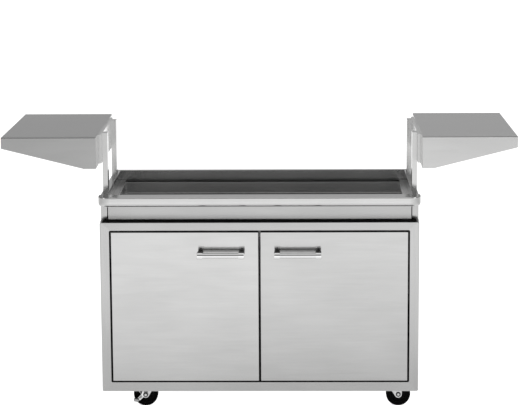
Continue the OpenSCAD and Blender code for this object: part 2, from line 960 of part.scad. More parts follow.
// Top plates of the casters with the upper half of their ball races
module caster_plates() {
    color(zinc)
        at_casters()
            difference() {
                union() {
                    block([-plate_x / 2, plate_x / 2], [-plate_y / 2, plate_y / 2], [race_z[1], caster_h]);
                    translate([0, 0, race_z[0]])
                        cylinder(r1 = race_r - race_h / 2, r2 = race_r, h = race_h);
                }
                rod_z([race_z[0] - cut, caster_h + cut], kingpin_d / 2 + running);
                for (x = [-plate_bolts[0], plate_bolts[0]], y = [-plate_bolts[1], plate_bolts[1]])
                    rod_z([race_z[1] - cut, caster_h + cut], bolt_d / 2 + running, x, y);
            }
}

// Rivets on which the forks turn
module caster_kingpins() {
    head_z = [fork_z - fork_t - free - sheet, fork_z - fork_t - free];
    color(zinc)
        at_casters() {
            rod_z([head_z[0], caster_h], kingpin_d / 2);
            rod_z(head_z, kingpin_d / 2 + sheet);
        }
}

// Bolts that hold the caster plates, with their nuts on the doublers
module caster_bolts() {
    top = caster_h + sheet + doubler_t;
    color(zinc)
        translate([0, front_y, 0])
            at_plate_bolts() {
                rod_z([race_z[1] - hex_h, race_z[1]], hex_d / 2, $fn = 6);
                rod_z([race_z[1], top], bolt_d / 2);
                rod_z([top, top + hex_h], hex_d / 2, $fn = 6);
            }
}

// Point where a line from p touches the round end of a leg on its left side
function tangent(p) =
    let (angle = atan2(p[1], p[0]) + acos(leg_r / norm(p)))
    leg_r * [cos(angle), sin(angle)];

// Outline of a plain fork's leg about the axle, upright along its right side
module plain_leg() {
    left = [-leg_lean, leg_top];
    circle(leg_r);
    polygon([left, tangent(left), [0, 0], [leg_r, 0], [leg_r, leg_top]]);
}

// Outline of a braked fork's leg about the axle, which narrows from both sides
module braked_leg() {
    left = [-brake_lean, leg_top];
    right = [brake_flare, brake_flare];
    touch = tangent([-right[0], right[1]]);
    circle(leg_r);
    polygon([left, tangent(left), [0, 0], [-touch[0], touch[1]], right, [right[0], leg_top]]);
}

// Pressed fork of a caster, which turns on the kingpin and carries the axle
module fork(side, row) {
    braked = side == "left";
    lean = braked ? brake_lean : leg_lean;
    reach = braked ? brake_flare : leg_r;
    color(zinc)
        difference() {
            union() {
                at_caster(side, row) {
                    rod_z([fork_z - fork_t, fork_z], race_r - race_h / 2);
                    block(
                        [swivel_offset - lean, swivel_offset + reach],
                        [-leg_y[1], leg_y[1]],
                        [fork_z - fork_t, fork_z]
                    );
                }
                at_axle(side, row)
                    for (y = [[-leg_y[1], -leg_y[0]], leg_y])
                        along_y(y)
                            if (braked)
                                braked_leg();
                            else
                                plain_leg();
            }
            at_caster(side, row)
                rod_z([fork_z - fork_t - cut, fork_z + cut], kingpin_d / 2 + running);
            at_axle(side, row)
                rod_y([-leg_y[1] - cut, leg_y[1] + cut], axle_d / 2 + running);
        }
}

// Solid rubber tyre with round shoulders
module tyre(side, row) {
    inner = wheel_r - tyre_t + running;
    r = tyre_shoulder;
    color(black)
        at_axle(side, row)
            rotate([90, 0, 0])
                rotate_extrude()
                    difference() {
                        union() {
                            translate([0, -wheel_w / 2])
                                square([wheel_r - r, wheel_w]);
                            translate([0, r - wheel_w / 2])
                                square([wheel_r, wheel_w - 2 * r]);
                            for (z = [r - wheel_w / 2, wheel_w / 2 - r])
                                translate([wheel_r - r, z])
                                    circle(r);
                        }
                        translate([0, -wheel_w])
                            square([inner, 2 * wheel_w]);
                    }
}

// Moulded hub with a thin web and a long boss round the axle
module hub(side, row) {
    rim_r = wheel_r - tyre_t;
    face = wheel_w / 2 - sheet;
    color(black)
        at_axle(side, row)
            difference() {
                union() {
                    rod_y([-face, face], rim_r);
                    rod_y([free - leg_y[0], leg_y[0] - free], boss_r);
                }
                for (y = [[-face - cut, hub_dish - face], [face - hub_dish, face + cut]])
                    difference() {
                        rod_y(y, rim_r - hub_rim);
                        rod_y(y + [-cut, cut], boss_r);
                    }
                rod_y([-wheel_w, wheel_w], axle_d / 2 + running);
            }
}

// Axle bolt through the fork, with its head in front and its nut behind
module axle(side, row) {
    front = side == "left" ? lever_y[0] - free : -leg_y[1];
    back = leg_y[1];
    color(zinc)
        at_axle(side, row) {
            rod_y([front, back], axle_d / 2);
            rod_y([front - hex_h, front], hex_d / 2, $fn = 6);
            rod_y([back, back + hex_h], hex_d / 2, $fn = 6);
        }
}

// Foot lever that turns on the axle bolt of a braked caster
module brake_lever(side, row) {
    color(zinc)
        at_axle(side, row)
            rotate([0, -lever_angle, 0])
                difference() {
                    union() {
                        rod_y(lever_y, lever_eye_r);
                        block([-lever_l, 0], lever_y, [-lever_w / 2, lever_w / 2]);
                        block(
                            [-lever_l - pad_l / 2, -lever_l + pad_l / 2],
                            [lever_y[0] - pad_out, lever_y[1]],
                            [-pad_h / 2, pad_h / 2]
                        );
                    }
                    rod_y(lever_y + [-cut, cut], axle_d / 2 + running);
                }
}

face_frame();
side_panel("left");  // left_side_panel
side_panel("right");  // right_side_panel
back_panel();
floor_pan();
top_deck();
neck_cheek("left");  // left_neck_cheek
neck_cheek("right");  // right_neck_cheek
neck_back_rail();
tray_runners();
door_stop();
magnetic_catches();
hinge_bushes();
tank_ring();
hose_grommet();
shelf("left");  // left_shelf
shelf("right");  // right_shelf
shelf_rail("left");  // left_shelf_rail
shelf_rail("right");  // right_shelf_rail
shelf_posts("left");  // left_shelf_posts
shelf_posts("right");  // right_shelf_posts
shelf_bolts();
caster_doublers();
caster_plates();
caster_kingpins();
caster_bolts();
door_skin("left");  // left_door_skin
door_liner("left");  // left_door_liner
handle_bar("left");  // left_handle_bar
handle_brackets("left");  // left_handle_brackets
strike_plate("left");  // left_strike_plate
hinge_pins("left");  // left_hinge_pins
door_skin("right");  // right_door_skin
door_liner("right");  // right_door_liner
handle_bar("right");  // right_handle_bar
handle_brackets("right");  // right_handle_brackets
strike_plate("right");  // right_strike_plate
hinge_pins("right");  // right_hinge_pins
drip_tray_pan();
drip_tray_front();
drip_tray_nose();
fork("left", "front");  // front_left_fork
tyre("left", "front");  // front_left_tyre
hub("left", "front");  // front_left_hub
axle("left", "front");  // front_left_axle
brake_lever("left", "front");  // front_left_brake_lever
fork("right", "front");  // front_right_fork
tyre("right", "front");  // front_right_tyre
hub("right", "front");  // front_right_hub
axle("right", "front");  // front_right_axle
fork("left", "rear");  // rear_left_fork
tyre("left", "rear");  // rear_left_tyre
hub("left", "rear");  // rear_left_hub
axle("left", "rear");  // rear_left_axle
brake_lever("left", "rear");  // rear_left_brake_lever
fork("right", "rear");  // rear_right_fork
tyre("right", "rear");  // rear_right_tyre
hub("right", "rear");  // rear_right_hub
axle("right", "rear");  // rear_right_axle
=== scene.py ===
"""Looks of the grill base cabinet: brushed stainless sheet, polished handles, and
black wheels in zinc-plated forks. All lengths are in metres, in the frame of the
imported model: X to the right, Y to the back, Z up from the floor."""

import itertools
import json
import math

import bmesh
import bpy
import numpy as np
from mathutils import Matrix, Vector

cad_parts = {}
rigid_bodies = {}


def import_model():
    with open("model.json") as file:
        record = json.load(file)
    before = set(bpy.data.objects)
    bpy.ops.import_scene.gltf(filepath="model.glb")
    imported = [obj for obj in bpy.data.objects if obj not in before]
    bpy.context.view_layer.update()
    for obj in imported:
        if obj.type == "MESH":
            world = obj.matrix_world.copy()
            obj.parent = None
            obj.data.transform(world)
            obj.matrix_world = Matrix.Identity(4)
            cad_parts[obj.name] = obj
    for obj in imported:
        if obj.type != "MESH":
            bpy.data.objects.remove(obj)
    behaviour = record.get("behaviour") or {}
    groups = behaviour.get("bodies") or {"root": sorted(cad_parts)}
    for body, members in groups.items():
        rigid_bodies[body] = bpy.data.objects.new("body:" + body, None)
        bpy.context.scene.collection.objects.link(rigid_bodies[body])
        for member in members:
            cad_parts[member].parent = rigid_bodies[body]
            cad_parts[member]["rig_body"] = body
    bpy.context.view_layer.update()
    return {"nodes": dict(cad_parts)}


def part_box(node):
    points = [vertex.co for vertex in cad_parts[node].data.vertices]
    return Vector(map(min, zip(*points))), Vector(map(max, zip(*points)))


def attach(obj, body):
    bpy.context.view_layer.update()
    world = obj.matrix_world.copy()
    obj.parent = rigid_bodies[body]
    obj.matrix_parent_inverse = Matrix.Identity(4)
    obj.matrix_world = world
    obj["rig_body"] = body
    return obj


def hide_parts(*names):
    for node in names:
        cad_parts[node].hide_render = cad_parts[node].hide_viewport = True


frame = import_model()

# ---------------------------------------------------------------- Camera
# A long lens stands well back, a little above the cabinet and a touch to its
# right, and leans by a third of a degree.
aim = Vector((0.0029, -0.27625, 0.6859))
distance = 6.49
azimuth, elevation, roll = (math.radians(angle) for angle in (1.11, 9.59, 0.32))
picture_px, focal_px, sensor_mm = 520, 2050, 36

backwards = Vector((
    math.sin(azimuth) * math.cos(elevation),
    -math.cos(azimuth) * math.cos(elevation),
    math.sin(elevation),
))
level = Vector((math.cos(azimuth), math.sin(azimuth), 0))
upwards = backwards.cross(level)
right = level * math.cos(roll) - upwards * math.sin(roll)
top = upwards * math.cos(roll) + level * math.sin(roll)
camera_data = bpy.data.cameras.new("camera")
camera_data.sensor_width = sensor_mm
camera_data.lens = sensor_mm * focal_px / picture_px
camera_data.clip_end = 100
camera = bpy.data.objects.new("camera", camera_data)
camera.matrix_world = Matrix.Translation(aim + backwards * distance) @ Matrix(
    (right, top, backwards)
).transposed().to_4x4()
bpy.context.scene.collection.objects.link(camera)
bpy.context.scene.camera = camera

# ---------------------------------------------------------------- Face frame
# Channel folded from stainless sheet round the two doors, with its corners
# welded and ground smooth. Its outer edges are soft bends, which are tighter
# above and below than at the sides.
X, Y, Z = 0, 1, 2
sheet = 0.0015
stile, top_rail, bottom_rail = 0.030, 0.026, 0.0305
frame_bend, opening_bend = 0.004, 0.001
frame_corner, opening_corner, least_corner = 0.005, 0.004, 0.0002
level_bend_share = 0.3
blue_share = 0.995
sharp, end_on_slope = math.radians(38), 0.8


def add_node(tree, kind, links, **settings):
    """One shader node: its settings are set, and each input gets a value or a link."""
    made = tree.nodes.new("ShaderNode" + kind)
    for name, value in settings.items():
        setattr(made, name, value)
    for name, value in links.items():
        if isinstance(value, bpy.types.NodeSocket):
            tree.links.new(value, made.inputs[name])
        else:
            made.inputs[name].default_value = value
    return made


def new_group(name, inputs, outputs):
    """An empty shader node group with the named input and output sockets."""
    tree = bpy.data.node_groups.new(name, "ShaderNodeTree")
    for title, kind in inputs.items():
        tree.interface.new_socket(title, in_out="INPUT", socket_type="NodeSocket" + kind)
    for title, kind in outputs.items():
        tree.interface.new_socket(title, in_out="OUTPUT", socket_type="NodeSocket" + kind)
    return tree, tree.nodes.new("NodeGroupInput"), tree.nodes.new("NodeGroupOutput")


def stretched_noise(tree, vector, scale, detail):
    """Noise that is stretched by a different scale along each direction."""
    mapped = add_node(tree, "Mapping", {"Vector": vector, "Scale": scale})
    noise = add_node(
        tree, "TexNoise", {"Vector": mapped.outputs["Vector"], "Scale": 1, "Detail": detail}
    )
    return noise.outputs["Fac"]


def weighted(tree, parts, base):
    """The sum of base and of each value times its weight."""
    total = base
    for value, weight in parts:
        total = add_node(
            tree, "Math", {0: value, 1: weight, 2: total}, operation="MULTIPLY_ADD"
        ).outputs[0]
    return total


def brushed_group():
    """Brush marks along U: hairs, streaks and patches, over slow clouds from rolling
    the sheet. Scales are in waves per metre along U and across it."""
    tree, given, made = new_group(
        "brush_marks",
        {"Vector": "Vector", "Roughness": "Float"},
        {"Tone": "Color", "Roughness": "Float", "Height": "Float"},
    )
    hair = stretched_noise(tree, given.outputs["Vector"], (30, 2600, 1), 2)
    streak = stretched_noise(tree, given.outputs["Vector"], (5, 330, 1), 3)
    patch = stretched_noise(tree, given.outputs["Vector"], (6, 38, 1), 2)
    cloud = stretched_noise(tree, given.outputs["Vector"], (3.1, 3.7, 1), 2)
    tone = weighted(tree, [(hair, 0.10), (streak, 0.10), (patch, 0.12), (cloud, 0.22)], 0.73)
    rough = weighted(tree, [(streak, 0.05), (cloud, 0.05)], -0.05)
    total = add_node(tree, "Math", {0: given.outputs["Roughness"], 1: rough}, operation="ADD")
    tree.links.new(tone, made.inputs["Tone"])
    tree.links.new(total.outputs[0], made.inputs["Roughness"])
    tree.links.new(weighted(tree, [(hair, 0.008), (cloud, 0.8)], 0.0), made.inputs["Height"])
    return tree


brush_marks = brushed_group()


def stainless(name, tone, roughness=0.18, anisotropy=0.72):
    """Brushed stainless sheet whose grain runs along U of the map named grain."""
    material = bpy.data.materials.new(name)
    material.use_nodes = True
    tree = material.node_tree
    shader = tree.nodes["Principled BSDF"]
    grain = add_node(tree, "UVMap", {}, uv_map="grain")
    marks = add_node(
        tree, "Group", {"Vector": grain.outputs["UV"], "Roughness": roughness},
        node_tree=brush_marks,
    )
    colour = add_node(
        tree, "Mix",
        {0: 1.0, 6: (tone, tone, tone * blue_share, 1), 7: marks.outputs["Tone"]},
        data_type="RGBA", blend_type="MULTIPLY",
    )
    bump = add_node(
        tree, "Bump", {"Height": marks.outputs["Height"], "Strength": 0.5, "Distance": 0.0006}
    )
    tangent = add_node(tree, "Tangent", {}, direction_type="UV_MAP", uv_map="grain")
    tree.links.new(colour.outputs[2], shader.inputs["Base Color"])
    tree.links.new(marks.outputs["Roughness"], shader.inputs["Roughness"])
    tree.links.new(bump.outputs["Normal"], shader.inputs["Normal"])
    tree.links.new(tangent.outputs["Tangent"], shader.inputs["Tangent"])
    shader.inputs["Metallic"].default_value = 1
    shader.inputs["Anisotropic"].default_value = anisotropy
    shader.inputs["Anisotropic Rotation"].default_value = 0.25
    return material


def rectangle(low, high, corner, steps=5, share=(1, 1)):
    """Outline of a rectangle between two corners. Moved outwards by a distance, its
    round corners grow by that distance, and moved inwards they shrink to sharp ones.
    Each axis takes its share of the distance."""
    middle, half = (np.array(high) + low) / 2, (np.array(high) - low) / 2
    turn = np.linspace(0, math.pi / 2, steps)
    angle = np.concatenate([turn + quarter * math.pi / 2 for quarter in (-1, 0, 1, 2)])
    side = np.repeat([(1, -1), (1, 1), (-1, 1), (-1, -1)], steps, axis=0)

    def outline(out):
        radius = max(corner + out, least_corner)
        reach = half + out * np.array(share) - radius
        away = np.column_stack([np.cos(angle), np.sin(angle)])
        return middle + side * reach + radius * away

    return outline


def bend(out, up, radius, first, last, steps=6):
    """Points of an arc about (out, up), from one angle in degrees to another."""
    angle = np.radians(np.linspace(first, last, steps))
    return list(zip(out + radius * np.cos(angle), up + radius * np.sin(angle)))


def rows_on(outline, profile):
    """The rows that carry each (out, up) point of a profile round one outline."""
    return [(outline, out, up) for out, up in profile]


def carried(rows, origin, axes, closed=False):
    """Shell through rows of points. A row is an outline, moved outwards by out and
    set at height up, which can be a function of its points. Quads join each row to
    the next, and the last to the first or else a cap to each end row."""
    loops = []
    for outline, out, up in rows:
        flat = outline(out)
        height = up(flat) if callable(up) else np.full(len(flat), up)
        loops.append(np.column_stack([flat, height]))
    points = np.array(origin) + np.concatenate(loops) @ np.array(axes, float)
    many, count = len(rows), len(loops[0])
    row = np.arange(many if closed else many - 1)[:, None]
    step = np.arange(count)[None, :]
    after, beside = (row + 1) % many, (step + 1) % count
    quads = np.stack([
        row * count + step, row * count + beside,
        after * count + beside, after * count + step,
    ], axis=-1).reshape(-1, 4)
    caps = [] if closed else [
        np.arange(count)[::-1], np.arange(count) + (many - 1) * count
    ]
    return outwards(points, quads, caps)


def outwards(points, quads, caps):
    """The same shell with its faces pointing out: the volume that its triangles
    close with the origin is positive then."""
    fans = [quads[:, [0, 1, 2]], quads[:, [0, 2, 3]]]
    for cap in caps:
        fans.append(np.column_stack([np.full(len(cap) - 2, cap[0]), cap[1:-1], cap[2:]]))
    a, b, c = points[np.concatenate(fans)].transpose(1, 0, 2)
    if np.einsum("ij,ij->", a, np.cross(b, c)) < 0:
        quads, caps = quads[:, ::-1], [cap[::-1] for cap in caps]
    return points, quads, caps


def on_side(shell, side):
    """A shell drawn on the right, or its mirror image on the left for side -1."""
    points, quads, caps = shell
    return outwards(points * (side, 1, 1), quads, caps)


def grain_map(mesh, grain):
    """UV map in metres: U runs along the grain's axis, and V along the face across
    it. On a face that the grain would stand on, U and V are the other two axes.
    grain is an axis, or a function from face middles to one axis for each."""
    faces, loops = len(mesh.polygons), len(mesh.loops)
    normal, middle = np.empty(faces * 3), np.empty(faces * 3)
    sizes, corner = np.empty(faces, int), np.empty(loops, int)
    place = np.empty(len(mesh.vertices) * 3)
    mesh.polygons.foreach_get("normal", normal)
    mesh.polygons.foreach_get("center", middle)
    mesh.polygons.foreach_get("loop_total", sizes)
    mesh.loops.foreach_get("vertex_index", corner)
    mesh.vertices.foreach_get("co", place)
    middle, place = middle.reshape(-1, 3), place.reshape(-1, 3)
    along = grain(middle) if callable(grain) else np.full(faces, grain)
    steep = np.abs(normal.reshape(-1, 3))
    first, second = (along + 1) % 3, (along + 2) % 3
    each = np.arange(faces)
    across = np.where(steep[each, first] > steep[each, second], second, first)
    end_on = steep[each, along] > end_on_slope
    u_axis = np.where(end_on, first, along)
    v_axis = np.where(end_on, second, across)
    spot = place[corner]
    each = np.arange(loops)
    uv = np.column_stack([
        spot[each, np.repeat(axis, sizes)] for axis in (u_axis, v_axis)
    ])
    mesh.uv_layers.new(name="grain").data.foreach_set("uv", uv.ravel())


def finish_piece(name, mesh, body, material, nodes, grain):
    """Puts a mesh on its CAD body as a smooth piece that stands for CAD nodes."""
    grain_map(mesh, grain)
    mesh.materials.append(material)
    mesh.polygons.foreach_set("use_smooth", np.ones(len(mesh.polygons), bool))
    mesh.set_sharp_from_angle(angle=sharp)
    made = bpy.data.objects.new(name, mesh)
    bpy.context.scene.collection.objects.link(made)
    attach(made, body)
    if nodes:
        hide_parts(*nodes)
    return made


def flat_shading(made):
    """Lets the large faces set the normals, so that flats stay flat beside bends."""
    made.modifiers.new("normals", "WEIGHTED_NORMAL").keep_sharp = True


def add_piece(name, shells, body, material, nodes=(), grain=X):
    """One piece made of one or more closed shells."""
    points, faces, start = [], [], 0
    for shell, quads, caps in shells:
        points.append(shell)
        faces += (quads + start).tolist() + [(cap + start).tolist() for cap in caps]
        start += len(shell)
    mesh = bpy.data.meshes.new(name)
    mesh.from_pydata(np.concatenate(points).tolist(), [], faces)
    mesh.update()
    flat_shading(finish_piece(name, mesh, body, material, nodes, grain))


def plane(low, high, *axes):
    """The two corners of a box, along two of its axes."""
    return [low[axis] for axis in axes], [high[axis] for axis in axes]


# Outlines seen from the front, from above and from the right
from_front = ((1, 0, 0), (0, 0, 1), (0, 1, 0))
from_above = ((1, 0, 0), (0, 1, 0), (0, 0, 1))
from_right = ((0, 1, 0), (0, 0, 1), (1, 0, 0))

low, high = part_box("face_frame")
front = low.y
frame_depth = high.y - low.y
outer = rectangle(*plane(low, high, X, Z), corner=frame_corner)
soft_sides = rectangle(
    *plane(low, high, X, Z), corner=frame_corner, share=(1, level_bend_share)
)
opening = rectangle(
    (low.x + stile, low.z + bottom_rail), (high.x - stile, high.z - top_rail),
    corner=opening_corner,
)
frame_rows = [
    *rows_on(outer, [(-sheet, frame_depth), (0, frame_depth)]),
    *rows_on(soft_sides, bend(-frame_bend, frame_bend, frame_bend, 0, -90)),
    *rows_on(opening, bend(opening_bend, opening_bend, opening_bend, 270, 180)),
    *rows_on(opening, [(0, frame_depth), (sheet, frame_depth), (sheet, sheet)]),
    *rows_on(outer, [(-sheet, sheet)]),
]
stile_start = high.x - stile
add_piece(
    "face_frame_channel",
    [carried(frame_rows, (0, front, 0), from_front, closed=True)],
    "cabinet",
    stainless("frame_steel", 0.452),
    ["face_frame"],
    grain=lambda middle: np.where(np.abs(middle[:, 0]) > stile_start, Z, X),
)

# ---------------------------------------------------------------- Top shade strips
# Black foam rubber strips, glued on as painted shade: one along the top of the face
# frame and one on the deck behind it, where the slot is dark, and a thin lining in
# the opening, where the gaps round the doors are dark.
shade_strip_front, shade_strip_back, shade_strip_in, shade_strip_gap = 0.0045, 0.0005, 0.0075, 0.002
shade_strip_high, shade_strip_round, shade_strip_corner = 0.0008, 0.0003, 0.002
shade_lining_start, shade_lining_thick = opening_bend + 0.001, 0.0004


def two_grains_group():
    """A coarse and a fine noise. Between the values From and To the coarse one takes
    the colour from Dark to Light. Each adds its share to the roughness, and the fine
    one is the height. Scales are in waves per metre along each axis."""
    tree, given, made = new_group(
        "two_grains",
        {
            "Vector": "Vector", "Dark": "Color", "Light": "Color",
            "From": "Float", "To": "Float", "Roughness": "Float",
            "Coarse Scale": "Vector", "Coarse Detail": "Float", "Coarse Share": "Float",
            "Fine Scale": "Vector", "Fine Detail": "Float", "Fine Share": "Float",
        },
        {"Color": "Color", "Roughness": "Float", "Height": "Float"},
    )
    source = given.outputs
    coarse, fine = (
        stretched_noise(
            tree, source["Vector"], source[size + " Scale"], source[size + " Detail"]
        )
        for size in ("Coarse", "Fine")
    )
    passed = add_node(
        tree, "MapRange",
        {"Value": coarse, "From Min": source["From"], "From Max": source["To"]},
    )
    colour = add_node(
        tree, "Mix", {0: passed.outputs["Result"], 6: source["Dark"], 7: source["Light"]},
        data_type="RGBA",
    )
    shares = [(coarse, source["Coarse Share"]), (fine, source["Fine Share"])]
    tree.links.new(colour.outputs[2], made.inputs["Color"])
    tree.links.new(weighted(tree, shares, source["Roughness"]), made.inputs["Roughness"])
    tree.links.new(fine, made.inputs["Height"])
    return tree


two_grains = two_grains_group()


def grained(name, dark, light, span, roughness, coarse, fine, relief, metallic):
    """Material with a coarse and a fine grain. Each grain is a scale, a detail and a
    share in the roughness. Span is where the coarse one takes the colour from dark to
    light, and relief is the strength and distance of the fine one's bump."""
    material = bpy.data.materials.new(name)
    material.use_nodes = True
    tree = material.node_tree
    shader = tree.nodes["Principled BSDF"]
    place = add_node(tree, "TexCoord", {})
    marks = add_node(
        tree, "Group",
        {
            "Vector": place.outputs["Object"], "Roughness": roughness,
            "Dark": (*dark, 1), "Light": (*light, 1), "From": span[0], "To": span[1],
            "Coarse Scale": coarse[0], "Coarse Detail": coarse[1], "Coarse Share": coarse[2],
            "Fine Scale": fine[0], "Fine Detail": fine[1], "Fine Share": fine[2],
        },
        node_tree=two_grains,
    )
    bump = add_node(
        tree, "Bump",
        {"Height": marks.outputs["Height"], "Strength": relief[0], "Distance": relief[1]},
    )
    tree.links.new(marks.outputs["Color"], shader.inputs["Base Color"])
    tree.links.new(marks.outputs["Roughness"], shader.inputs["Roughness"])
    tree.links.new(bump.outputs["Normal"], shader.inputs["Normal"])
    shader.inputs["Metallic"].default_value = metallic
    return material


def moulded(name, tone, roughness, grain_scale, dust):
    """Moulded rubber or plastic: a fine surface grain, with a little dull bloom
    that gathers in slow patches."""
    material = grained(
        name, dark=(tone,) * 3, light=(tone + dust,) * 3, span=(0.4, 0.8),
        roughness=roughness - 0.12,
        coarse=((45,) * 3, 3, 0.15), fine=((grain_scale,) * 3, 3, 0.1),
        relief=(0.3, 0.0003), metallic=0,
    )
    shader = material.node_tree.nodes["Principled BSDF"]
    shader.inputs["Specular IOR Level"].default_value = 0.06
    return material


def edge_strip(outline, face_y, thick, start, end):
    """Thin strip on the folded edge of a sheet, between two distances behind its
    face. It lies inside the outline where thick is negative."""
    section = [(0, start), (thick, start), (thick, end), (0, end)]
    return carried(rows_on(outline, section), (0, face_y, 0), from_front, closed=True)


rubber = moulded("black_rubber", 0.0015, 0.75, 900, 0.0025)
low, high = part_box("face_frame")
deck_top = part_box("top_deck")[1].z
plate_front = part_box("drip_tray_front")[0].y
# Painted shade: black strips in the opening and in the slot behind the frame's top
strips = [edge_strip(opening, front, -shade_lining_thick, shade_lining_start, frame_depth)]
for under, near, far in (
    (high.z, low.y + shade_strip_front, high.y - shade_strip_back),
    (deck_top, high.y + shade_strip_back, plate_front - shade_strip_gap),
):
    strip = rectangle((low.x + shade_strip_in, near), (high.x - shade_strip_in, far), shade_strip_corner)
    crown = high.z + shade_strip_high - under
    section = [(0, 0), *bend(-shade_strip_round, crown - shade_strip_round, shade_strip_round, 0, 90, steps=3)]
    strips.append(carried(rows_on(strip, section), (0, 0, under), from_above))
add_piece("top_painted_shade_strips", strips, "cabinet", rubber)

# ---------------------------------------------------------------- Body sheets
# Side panels, back, floor, deck, cheeks and rails, laser-cut from stainless sheet,
# folded and spot-welded. Their cut edges are dressed by hand.
body_steel = stainless("body_steel", 0.54)
cheek_steel = stainless("cheek_steel", 0.43)
merge_distance, flat_angle = 1e-6, math.radians(0.5)


def softened(node, material, grain=X, edge=0.0005):
    """A CAD node's own shape with its doubles merged, the triangles of each flat
    face joined, and a fine bevel on each sharp edge."""
    shape = bmesh.new()
    shape.from_mesh(frame["nodes"][node].data)
    bmesh.ops.remove_doubles(shape, verts=shape.verts, dist=merge_distance)
    bmesh.ops.dissolve_limit(
        shape, angle_limit=flat_angle, verts=shape.verts, edges=shape.edges
    )
    mesh = bpy.data.meshes.new(node + "_dressed")
    shape.to_mesh(mesh)
    shape.free()
    mesh.materials.clear()
    body = frame["nodes"][node]["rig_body"]
    made = finish_piece(mesh.name, mesh, body, material, [node], grain)
    bevel = made.modifiers.new("edges", "BEVEL")
    bevel.width = edge
    bevel.segments = 2
    bevel.limit_method = "ANGLE"
    bevel.angle_limit = sharp
    flat_shading(made)


for node, grain in {
    "left_side_panel": Y, "right_side_panel": Y, "back_panel": X, "floor_pan": X,
    "top_deck": X, "left_neck_cheek": Y, "right_neck_cheek": Y, "neck_back_rail": X,
    "left_shelf_rail": Y, "right_shelf_rail": Y,
    "left_shelf_posts": Z, "right_shelf_posts": Z,
}.items():
    softened(node, cheek_steel if node.endswith("cheek") else body_steel, grain)

# ---------------------------------------------------------------- Doors
# Two stainless pans with soft folded edges and a thin black tape round them, which is
# painted shade in the gaps. Each is closed behind by an inner liner, whose middle is
# pressed in to keep it flat.
door_bend, door_corner, shade_tape_thick = 0.0014, 0.0015, 0.0004
emboss_in, emboss_wide, emboss_deep = 0.040, 0.007, 0.0025
liner_steel = stainless("liner_steel", 0.55, roughness=0.28)

# The doors' steel tones differ only as painted light and shade, lighter on the left
for side, tone in (("left", 0.518), ("right", 0.48)):
    door = side + "_door"
    low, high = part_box(door + "_skin")
    depth = high.y - low.y
    skin = rectangle(*plane(low, high, X, Z), corner=door_corner)
    skin_profile = [
        (-sheet, sheet), (-sheet, depth), (0, depth),
        *bend(-door_bend, door_bend, door_bend, 0, -90),
    ]
    add_piece(
        door + "_pan",
        [carried(rows_on(skin, skin_profile), (0, low.y, 0), from_front)],
        door, stainless(door + "_steel", tone, roughness=0.10), [door + "_skin"],
    )
    # The black tape is painted shade in the gaps round each door
    add_piece(
        door + "_edge_shade_tape",
        [edge_strip(skin, low.y, shade_tape_thick, door_bend + shade_tape_thick, depth)],
        door, rubber,
    )
    low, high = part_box(door + "_liner")
    depth = high.y - low.y
    inset = rectangle(*plane(low, high, X, Z), corner=door_corner)
    liner_profile = [
        (-emboss_in - emboss_wide, depth - sheet - emboss_deep),
        (-emboss_in, depth - sheet),
        (-sheet, depth - sheet),
        (-sheet, 0),
        (0, 0),
        *bend(-sheet, depth - sheet, sheet, 0, 90),
        (-emboss_in, depth),
        (-emboss_in - emboss_wide, depth - emboss_deep),
    ]
    add_piece(
        door + "_inner",
        [carried(rows_on(inset, liner_profile), (0, low.y, 0), from_front)],
        door, liner_steel, [door + "_liner"],
    )

# ---------------------------------------------------------------- Handles
# A ground and polished bar sits in two cast sockets. They stand on round posts with a
# flared foot, screwed to the door from behind.
bar_radius, socket_radius, post_radius = 0.009, 0.0105, 0.0085
socket_length, socket_edge, socket_mouth = 0.018, 0.0016, 0.0005
foot_out, foot_high = 0.0008, 0.0014


def polished(name, tone, roughness):
    """Polished steel with faint rings from the polishing wheel and soft smears."""
    return grained(
        name, dark=(tone * 0.93,) * 3, light=(tone,) * 3, span=(0, 1),
        roughness=roughness - 0.04,
        coarse=((60,) * 3, 2, 0.05), fine=((900, 40, 40), 2, 0.03),
        relief=(0.08, 0.0002), metallic=1,
    )


def circle(radius, steps=48):
    """Outline of a circle about the origin of its plane."""
    angle = np.arange(steps) * 2 * math.pi / steps
    ring = np.column_stack([np.cos(angle), np.sin(angle)])
    return lambda out: (radius + out) * ring


polish = polished("polished_steel", 0.79, 0.05)
socket_polish = polished("polished_casting", 0.87, 0.04)
# The posts are painted near black, as painted shade
post_painted_shade = polished("post_painted_shade_casting", 0.03, 0.45)
for side in ("left", "right"):
    low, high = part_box(side + "_handle_brackets")
    axis_y, axis_z = low.y + socket_radius, (low.z + high.z) / 2
    length, reach = high.x - low.x, high.y - axis_y
    bar = rows_on(circle(bar_radius), [(0, socket_edge), (0, length - socket_edge)])
    socket = rows_on(circle(socket_radius), [
        *bend(-socket_edge, socket_edge, socket_edge, -90, 0),
        *bend(-socket_mouth, socket_length - socket_mouth, socket_mouth, 0, 90, steps=3),
        (bar_radius - socket_radius, socket_length),
    ])
    post = rows_on(circle(post_radius), [
        (0, 0), (0, reach - foot_high - foot_out), (foot_out, reach - foot_high),
        (foot_out, reach),
    ])
    grip = [carried(bar, (low.x, axis_y, axis_z), from_right)]
    sockets, posts = [], []
    for end_x, inwards in ((low.x, 1), (high.x, -1)):
        toward_middle = ((0, 1, 0), (0, 0, 1), (inwards, 0, 0))
        sockets.append(carried(socket, (end_x, axis_y, axis_z), toward_middle))
        middle_x = end_x + inwards * socket_length / 2
        posts.append(carried(post, (middle_x, axis_y, axis_z), from_front))
    for title, shells, finish, nodes in (
        ("_handle_grip", grip, polish, [side + "_handle_bar"]),
        ("_handle_sockets", sockets, socket_polish, [side + "_handle_brackets"]),
        ("_handle_posts", posts, post_painted_shade, []),
    ):
        add_piece(side + title, shells, side + "_door", finish, nodes)

